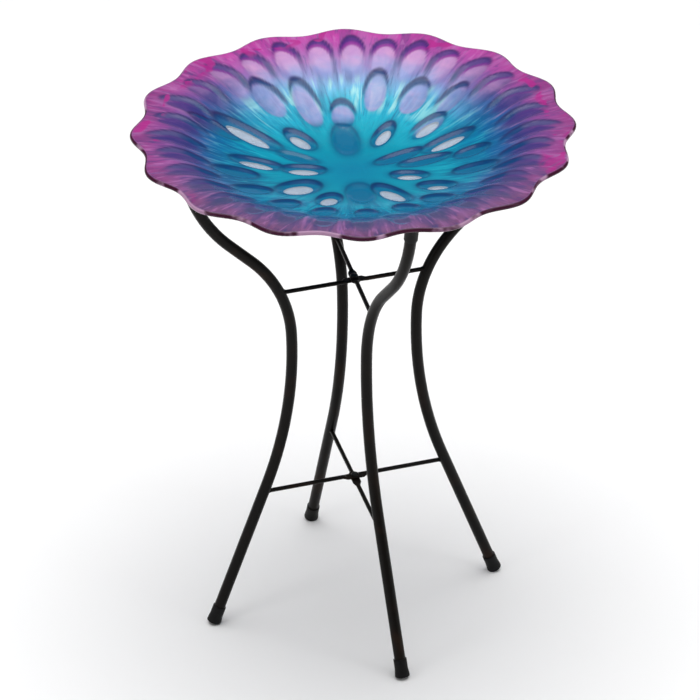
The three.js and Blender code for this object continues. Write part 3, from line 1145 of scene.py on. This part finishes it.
    def build(self, coat: bpy.types.Material, rubber: bpy.types.Material) -> None:
        """Builds the frame's pieces, dresses them and puts them in place of their CAD nodes.

        Args:
            coat: the finish of the steel.
            rubber: the finish of the caps.
        """
        for leg, side in self.legs.items():
            parts = (
                (self.tube(f"bent_leg_{leg}"), f"leg_{leg}", "black_powder_coat", coat),
                (self.foot_cap(f"rubber_foot_{leg}"), f"foot_cap_{leg}", "black_rubber", rubber),
                (self.tip_cap(f"rubber_tip_{leg}"), f"tip_cap_{leg}", "black_rubber", rubber),
            )
            for piece, node, slot, material in parts:
                put(piece, self.leg_place(side))
                shade(piece, self.tube_crease if material is coat else self.cap_crease)
                hand_over(piece, self.body, node, material)
        for level, flat_side in self.flats.items():
            node = f"{self.rods}_rod_{level}"
            low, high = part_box(node)
            piece = self.rod(f"flattened_{node}", (low[2] + high[2]) / 2, flat_side)
            shade(piece, self.rod_crease)
            hand_over(piece, self.body, node, coat)


@dataclass
class Pivots:
    """The two rivets that the frames turn on, each with a domed head and a closed tail."""

    body: str = "side_frame"
    shank_radius: float = 2 * MM
    grip: float = 2.8 * MM
    head_radius: float = 4.3 * MM
    head_height: float = 2.7 * MM
    tail_radius: float = 3.6 * MM
    tail_height: float = 1.5 * MM
    steps: int = 48
    tail_steps: int = 6
    crown_steps: int = 14
    crease: float = 35

    def profile(self) -> Profile:
        """Draws the rivet's section.

        Returns:
            Its points, from the tail up to the crown of the head.
        """
        return [
            (0.0, -self.grip - self.tail_height),
            *arc((self.tail_radius * 0.6, -self.grip - self.tail_height * 0.45),
                 (self.tail_radius * 0.4, self.tail_height * 0.55), -90, 0, self.tail_steps),
            (self.tail_radius, -self.grip),
            (self.shank_radius, -self.grip),
            (self.shank_radius, self.grip),
            (self.head_radius * 0.97, self.grip),
            *arc((0.0, self.grip + 0.1 * self.head_height),
                 (self.head_radius, 0.9 * self.head_height), 0, 90, self.crown_steps),
        ]

    def build(self, paintwork: bpy.types.Material) -> None:
        """Builds both rivets, each where its CAD node is.

        Args:
            paintwork: the finish of the rivets.
        """
        for level in ("upper", "lower"):
            node = f"pivot_rivet_{level}"
            _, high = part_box(node)
            middle = high[2] - self.head_height - self.grip
            piece = lathe(f"domed_rivet_{level}", self.profile(), self.steps)
            put(piece, Matrix.Translation((0, 0, middle)))
            shade(piece, self.crease)
            hand_over(piece, self.body, node, paintwork)


# ---------------------------------------------------------------- the bowl


class Press(Enum):
    """How the colour lies in a pressed oval: how clear its spot and how sharp its outline is."""

    CLEAR = (1.0, 1.0)
    THIN = (0.62, 1.0)
    FULL = (0.0, 1.0)
    SOFT = (0.0, 0.35)


@dataclass(frozen=True)
class Oval:
    """One pressed oval of the bowl, long way outwards from the middle."""

    angle: float
    radius: float
    half_length: float
    half_width: float
    press: Press = Press.FULL


@dataclass
class GlassBowl:
    """The scalloped glass bowl with its pressed ovals.

    Radii are of its upper surface. The ovals' places and sizes, their zones and the lens, which is
    how far a floor is painted towards the near side, are in millimetres, and their angles in degrees.
    """

    body: str = "bowl"
    rim_radius: float = 223.2 * MM
    lobes: int = 16
    lobe_height: float = 5.3 * MM
    lobe_phase: float = math.radians(7.1)
    scallop_width: float = 35.2 * MM
    hub_radius: float = 25 * MM
    dish_radius: float = 305 * MM
    flange_width: float = 52.2 * MM
    shoulder_radius: float = 65 * MM
    flange_slope: float = math.radians(6)
    thickness: float = 5 * MM
    crease: float = 80
    oval_depth: float = 2.0 * MM
    turn_steps: int = 512
    steps_upper: int = 144
    steps_lower: int = 24
    steps_edge: int = 10
    turn: float = math.radians(-18)
    ring_radius: float = 180.0
    ring_half_length: float = 30.0
    ring_half_width: float = 14.0
    outer_zone: float = 160.0
    hub_zone: float = 90.0
    ring_slip: float = 3.0
    slip_middle: float = 110.0
    slip_reach: float = 60.0
    lens_outer: float = 7.5
    lens_inner: float = 4.5
    # how far painted light fades the outlines and shade of far ovals
    far_light_fade: float = 0.8
    crescent_strength: float = 0.92
    lip_strength: float = 0.8
    layer_names: tuple[str, ...] = ("depth", "floor", "crescent", "lip", "outline", "shade", "clear")
    ovals: list[Oval] = field(default_factory=list)

    def __post_init__(self) -> None:
        """Lays out the ovals: the outer ring, whose far ones slip round a little, and the rest."""
        count = 2 * self.lobes
        first = math.degrees(self.lobe_phase - self.turn)
        for i in range(count):
            angle = first + i * 360 / count
            away = min(abs(angle - self.slip_middle) / self.slip_reach, 1)
            angle -= self.ring_slip * math.cos(away * math.pi / 2) ** 2
            self.ovals.append(Oval(angle, self.ring_radius, self.ring_half_length, self.ring_half_width))
        self.ovals.extend(self.middle_ovals())

    def middle_ovals(self) -> list[Oval]:
        """Lists the ovals inside the outer ring.

        Returns:
            The ovals, with angles from the right of the bowl as it is looked at.
        """
        clear, thin, soft = Press.CLEAR, Press.THIN, Press.SOFT
        return [
            Oval(4, 122, 19, 11), Oval(22, 105, 30, 12, clear), Oval(43, 106, 25, 12, clear),
            Oval(46, 148, 24, 12), Oval(62, 136, 25, 15), Oval(80, 136, 29, 13),
            Oval(96, 103, 22, 14), Oval(113, 123, 37, 14), Oval(128, 143, 28, 16),
            Oval(156, 120, 40, 14, clear), Oval(163, 150, 28, 10), Oval(182, 100, 28, 12, clear),
            Oval(197, 126, 25, 13), Oval(216, 128, 25, 13), Oval(236, 126, 24, 13),
            Oval(256, 126, 24, 13), Oval(276, 128, 24, 13), Oval(295, 128, 24, 13),
            Oval(312, 128, 23, 13), Oval(328, 100, 23, 12, thin), Oval(346, 128, 24, 12),
            Oval(8, 74, 28, 10), Oval(27, 52, 28, 10), Oval(65, 74, 23, 10, clear),
            Oval(98, 60, 30, 15, soft), Oval(135, 78, 22, 12, clear), Oval(160, 62, 24, 9, soft),
            Oval(184, 52, 24, 12, clear), Oval(220, 74, 28, 17, clear), Oval(251, 78, 21, 13, clear),
            Oval(277, 58, 28, 16, soft), Oval(303, 72, 33, 13, clear), Oval(343, 60, 21, 11, clear),
        ]

    def dish(self, radius: Values) -> np.ndarray:
        """Works out the upper surface without its ovals.

        Args:
            radius: how far out.

        Returns:
            Height over the flat middle.
        """
        radius = np.asarray(radius, dtype=float)
        shoulder = self.rim_radius - self.flange_width
        reach = shoulder - self.hub_radius
        slope = math.asin(reach / self.dish_radius)
        bowl = self.dish_radius - np.sqrt(
            self.dish_radius ** 2 - np.clip(radius - self.hub_radius, 0, reach) ** 2)
        crest_x = shoulder + self.shoulder_radius * math.sin(slope)
        crest_z = self.dish_radius * (1 - math.cos(slope)) - self.shoulder_radius * math.cos(slope)
        flange = crest_x - self.shoulder_radius * math.sin(self.flange_slope)
        along = np.clip(radius, shoulder, flange)
        turned = crest_z + np.sqrt(self.shoulder_radius ** 2 - (crest_x - along) ** 2)
        outer = turned + np.maximum(radius - flange, 0) * math.tan(self.flange_slope)
        return np.where(radius <= shoulder, bowl, outer)

    def underside(self, radius: Values) -> np.ndarray:
        """Works out the smooth underside, which is the glass's thickness away square to it.

        Args:
            radius: how far out.

        Returns:
            Height over the flat middle of the upper surface.
        """
        step = 0.5 * MM
        near = np.maximum(radius, self.hub_radius)
        slope = np.arctan((self.dish(near + step) - self.dish(near - step)) / (2 * step))
        return self.dish(radius) - self.thickness / np.cos(slope)

    def profile(self, base: float) -> Profile:
        """The bowl's section from the middle of its floor over the rim to the middle underneath.

        Args:
            base: height of the floor's upper surface.

        Returns:
            Radius and height of each point.
        """
        edge = self.thickness / 2
        last = self.rim_radius - edge
        upper = [last * i / self.steps_upper for i in range(self.steps_upper)]
        lower = [last * i / self.steps_lower for i in range(self.steps_lower)]
        points = [(radius, base + float(self.dish(radius))) for radius in upper]
        points += arc((last, base + float(self.dish(last)) - edge), (edge, edge), 90, -90, self.steps_edge)
        points += [(radius, base + float(self.underside(radius))) for radius in reversed(lower)]
        return points

    def oval_layers(self, oval: Oval, radius: np.ndarray, angle: np.ndarray) -> dict[str, np.ndarray]:
        """What one oval does to the points of the bowl, from 0 to 1.

        The floor and the clear spot are painted a little nearer than the oval itself, as thick glass
        shows them from the front, and a dark crescent with a lip runs along the oval's far side, partly
        colour pooled in the wall and partly painted shade of that wall seen through the glass. The
        outline is painted darker where the wall faces away, which is painted shade, and the outline and
        shade of far ovals fade under painted light.

        Args:
            oval: the oval.
            radius: how far out each point lies.
            angle: the points' angles about the middle.

        Returns:
            How deep the points are pressed, and how strongly each layer of colour shows.
        """
        far = math.radians(oval.angle)
        aside = (angle - far - self.turn + math.pi) % (2 * math.pi) - math.pi
        out = (radius / MM - oval.radius) / oval.half_length
        side = aside * radius / MM / oval.half_width
        reach = np.hypot(out, side)
        clearness, sharpness = oval.press.value
        outermost = oval.radius > self.outer_zone
        in_hub = oval.radius < self.hub_zone
        # pale stands for painted light on the far ovals, which fades their outline and shade
        pale = 0.0 if in_hub else self.far_light_fade * float(smoothstep(0.3, 0.8, math.sin(far)))
        lens = self.lens_outer if outermost else self.lens_inner
        out_seen = out + lens * math.sin(far) / oval.half_length
        side_seen = side + lens * math.cos(far) / oval.half_width
        seen = np.hypot(out_seen, side_seen)
        inside = 1 - smoothstep(0.95, 1.08, reach)
        floor = inside * (1 - smoothstep(0.76, 0.94, seen))
        beyond = out * math.sin(far) + side * math.cos(far)
        facing = smoothstep(-0.3, 0.9, beyond)
        # the crescent and the lip along the far side are partly pooled colour, partly painted shade of the
        # far wall
        crescent = inside * smoothstep(0.8, 0.98, seen) * smoothstep(-0.2, 0.45, beyond)
        crescent = self.crescent_strength * sharpness * crescent
        if outermost:
            floor *= smoothstep(-1.15, -0.35, beyond)
        line = smoothstep(0.84, 0.97, reach) * (1 - smoothstep(1.0, 1.14, reach))
        # the outline's share that grows with facing is painted shade on the far wall
        outline = sharpness * line * ((0.1 if outermost else 0.4) * (1 - pale) + 0.6 * facing)
        shade = (0.35 if outermost else 1 - pale) * (1 - smoothstep(0.9, 1.5, reach))
        clear = clearness * (1 - smoothstep(0.35, 1.0, seen * 1.12))
        lip = self.lip_strength * smoothstep(0.74, 0.86, seen) * (1 - smoothstep(0.92, 1.04, seen))
        lip = lip * inside * smoothstep(0, 0.6, beyond) if outermost else np.zeros_like(seen)
        layers = {"depth": 1 - smoothstep(0.5, 1.05, reach), "floor": floor, "crescent": crescent,
                  "lip": lip, "outline": outline, "shade": shade, "clear": clear}
        around = (np.abs(aside) < 1.2) & (reach < 1.6)
        return {name: np.where(around, layer, 0) for name, layer in layers.items()}

    def press(self, piece: bpy.types.Object, base: float) -> None:
        """Draws out the scallops, presses the ovals and notes on the mesh where they are.

        Args:
            piece: the round bowl.
            base: height of the floor's upper surface.
        """
        x, y, z = read_points(piece).T
        radius = np.hypot(x, y)
        angle = np.arctan2(y, x)
        last = self.rim_radius - self.thickness / 2
        upper = (z > base + self.dish(radius) - self.thickness / 2) & (radius < last + DOUBLES / 10)
        layers = {name: np.zeros_like(radius) for name in self.layer_names}
        for oval in self.ovals:
            for name, layer in self.oval_layers(oval, radius, angle).items():
                np.maximum(layers[name], layer, out=layers[name])
        grow = smoothstep(self.rim_radius - self.scallop_width, self.rim_radius, radius)
        wave = grow * self.lobe_height * np.cos(self.lobes * (angle - self.lobe_phase))
        out = radius + wave
        z = z - np.where(upper, layers.pop("depth") * self.oval_depth, 0)
        rim = smoothstep(last + 0.1 * MM, last + 1.0 * MM, radius)
        back = np.where(upper, 0, 1) * (1 - rim)
        for name, values in (layers | {"edge": rim, "back": back}).items():
            note = piece.data.attributes.new(name, "FLOAT", "POINT")
            note.data.foreach_set("value", values.astype(np.float32))
        write_points(piece, (out * np.cos(angle), out * np.sin(angle), z))

    def build(self, glass: bpy.types.Material) -> None:
        """Builds the bowl, dresses it and puts it in place of its CAD node.

        Args:
            glass: the finish of the bowl.
        """
        low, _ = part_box("glass_bowl")
        base = low[2] + self.thickness
        piece = lathe("pressed_glass_bowl", self.profile(base), self.turn_steps)
        self.press(piece, base)
        shade(piece, self.crease)
        hand_over(piece, self.body, "glass_bowl", glass)


# ---------------------------------------------------------------- the studio


@dataclass(frozen=True)
class SoftBox:
    """A soft rectangular light, placed from the camera's side. It faces a point on the pivot axis."""

    name: str
    place: tuple[float, float, float]
    aim_height: float
    size: tuple[float, float]
    watts: float

    def build(self, side: Matrix) -> None:
        """Builds the light.

        Args:
            side: turns a place as the camera sees it into the frame's.
        """
        place = side @ Vector(self.place)
        clear_selection()
        bpy.ops.object.light_add(type="AREA", location=place)
        lamp = bpy.context.active_object
        lamp.name = self.name
        lamp.data.shape = "RECTANGLE"
        lamp.data.size, lamp.data.size_y = self.size
        lamp.data.energy = self.watts
        aim = Vector((0, 0, self.aim_height))
        lamp.rotation_euler = (aim - place).to_track_quat("-Z", "Y").to_euler()


@dataclass(frozen=True)
class LongCamera:
    """The camera, above and in front, with a long lens. Its angles are in degrees."""

    place: tuple[float, float, float] = (-0.0042, -3.5823, 2.4795)
    pan: float = -0.1615
    tilt: float = 31.0845
    roll: float = -0.3714
    lens: float = 203.8
    sensor: float = 36
    shift: tuple[float, float] = (0.0131, -0.0061)
    sight: float = 100

    def axes(self) -> Matrix:
        """Works out the camera's aim.

        Returns:
            The turn from straight down, before the camera goes round to its side.
        """
        pan, tilt, roll = (math.radians(angle) for angle in (self.pan, self.tilt, self.roll))
        forward = Vector((math.sin(pan) * math.cos(tilt), math.cos(pan) * math.cos(tilt), -math.sin(tilt)))
        level = Vector((math.cos(pan), -math.sin(pan), 0))
        right = math.cos(roll) * level + math.sin(roll) * level.cross(forward)
        up = right.cross(forward)
        return Matrix((right, up, -forward)).transposed().to_4x4()

    def build(self, side: Matrix) -> None:
        """Builds the camera.

        Args:
            side: turns a place as the camera sees it into the frame's.
        """
        clear_selection()
        bpy.ops.object.camera_add()
        camera = bpy.context.active_object
        camera.name = "camera"
        camera.matrix_world = side.to_4x4() @ Matrix.Translation(self.place) @ self.axes()
        camera.data.lens = self.lens
        camera.data.sensor_width = self.sensor
        camera.data.shift_x, camera.data.shift_y = self.shift
        camera.data.clip_end = self.sight
        bpy.context.scene.camera = camera


@dataclass(frozen=True)
class Studio:
    """The pale floor, the soft lights and the camera.

    Overhead light comes from suns of several widths in degrees, each with its strength, so that it
    fades softly outwards. The air is dim all round, and its backdrop is pale to the camera.
    """

    turn: float = math.radians(-18.06)
    floor_size: float = 16.0
    floor_tones: tuple[str, str] = ("f2f2f2", "f6f6f6")
    air: float = 0.16
    backdrop: float = 0.93
    overhead: tuple[tuple[int, float], ...] = ((45, 0.6), (65, 0.75), (85, 0.8), (105, 0.6))
    soft_boxes: tuple[SoftBox, ...] = (
        SoftBox("box_over_bowl", (0.0, 0.35, 2.1), cad_high.z, (1.5, 0.8), 8),
        SoftBox("tall_box_left", (-1.6, -1.2, 1.1), cad_high.z / 2, (0.4, 1.8), 5),
        SoftBox("tall_box_right", (1.7, -0.9, 1.1), cad_high.z / 2, (0.4, 1.8), 4),
    )

    def build_floor(self) -> None:
        """Builds the pale floor."""
        clear_selection()
        bpy.ops.mesh.primitive_plane_add(size=self.floor_size)
        floor = bpy.context.active_object
        floor.name = "studio_floor"
        sheet = NodeSheet("studio_floor")
        first, second = self.floor_tones
        sheet.set(Base_Color=sheet.blend(sheet.noise(1.5, 2.0), paint(first), paint(second)),
                  Roughness=0.7, Specular_IOR_Level=0.2)
        floor.data.materials.append(sheet.material)

    def build_air(self) -> None:
        """Fills the studio with dim light and a pale backdrop."""
        world = bpy.data.worlds.new("studio_air")
        bpy.context.scene.world = world
        world.use_nodes = True
        nodes, links = world.node_tree.nodes, world.node_tree.links
        mixed = nodes.new("ShaderNodeMix")
        links.new(nodes.new("ShaderNodeLightPath").outputs["Is Camera Ray"], mixed.inputs[0])
        mixed.inputs[2].default_value = self.air
        mixed.inputs[3].default_value = self.backdrop
        links.new(mixed.outputs[0], nodes["Background"].inputs["Strength"])
        nodes["Background"].inputs["Color"].default_value = (1, 1, 1, 1)

    def build_suns(self) -> None:
        """Builds the overhead light."""
        for width, strength in self.overhead:
            clear_selection()
            bpy.ops.object.light_add(type="SUN")
            sun = bpy.context.active_object
            sun.name = f"overhead_{width}"
            sun.data.energy = strength
            sun.data.angle = math.radians(width)

    def build(self) -> None:
        """Builds the studio."""
        side = Matrix.Rotation(self.turn, 3, "Z")
        LongCamera().build(side)
        self.build_floor()
        self.build_air()
        self.build_suns()
        for box in self.soft_boxes:
            box.build(side)
        bpy.context.scene.view_settings.view_transform = "Standard"


def main() -> None:
    """Builds the studio and the object's sub-assemblies in order."""
    logging.basicConfig(level=logging.INFO, format="%(name)s: %(message)s")
    Studio().build()
    coat = PowderCoat().make()
    rubber = MouldedRubber().make()
    offset = 2 * CapSizes().flare_radius + NEST_GAP
    StandFrame(body="side_frame", legs={"left": Side.NEAR, "right": Side.FAR}, rods="side",
               turn=0.0, offset=0.0, flats={"upper": 1, "lower": -1}).build(coat, rubber)
    StandFrame(body="cross_frame", legs={"front": Side.NEAR, "rear": Side.FAR}, rods="cross",
               turn=OPEN_ANGLE, offset=offset, flats={"upper": -1, "lower": 1}).build(coat, rubber)
    Pivots().build(RivetPaint().make())
    GlassBowl().build(PaintedGlass().make())


if __name__ == "__main__":
    main()
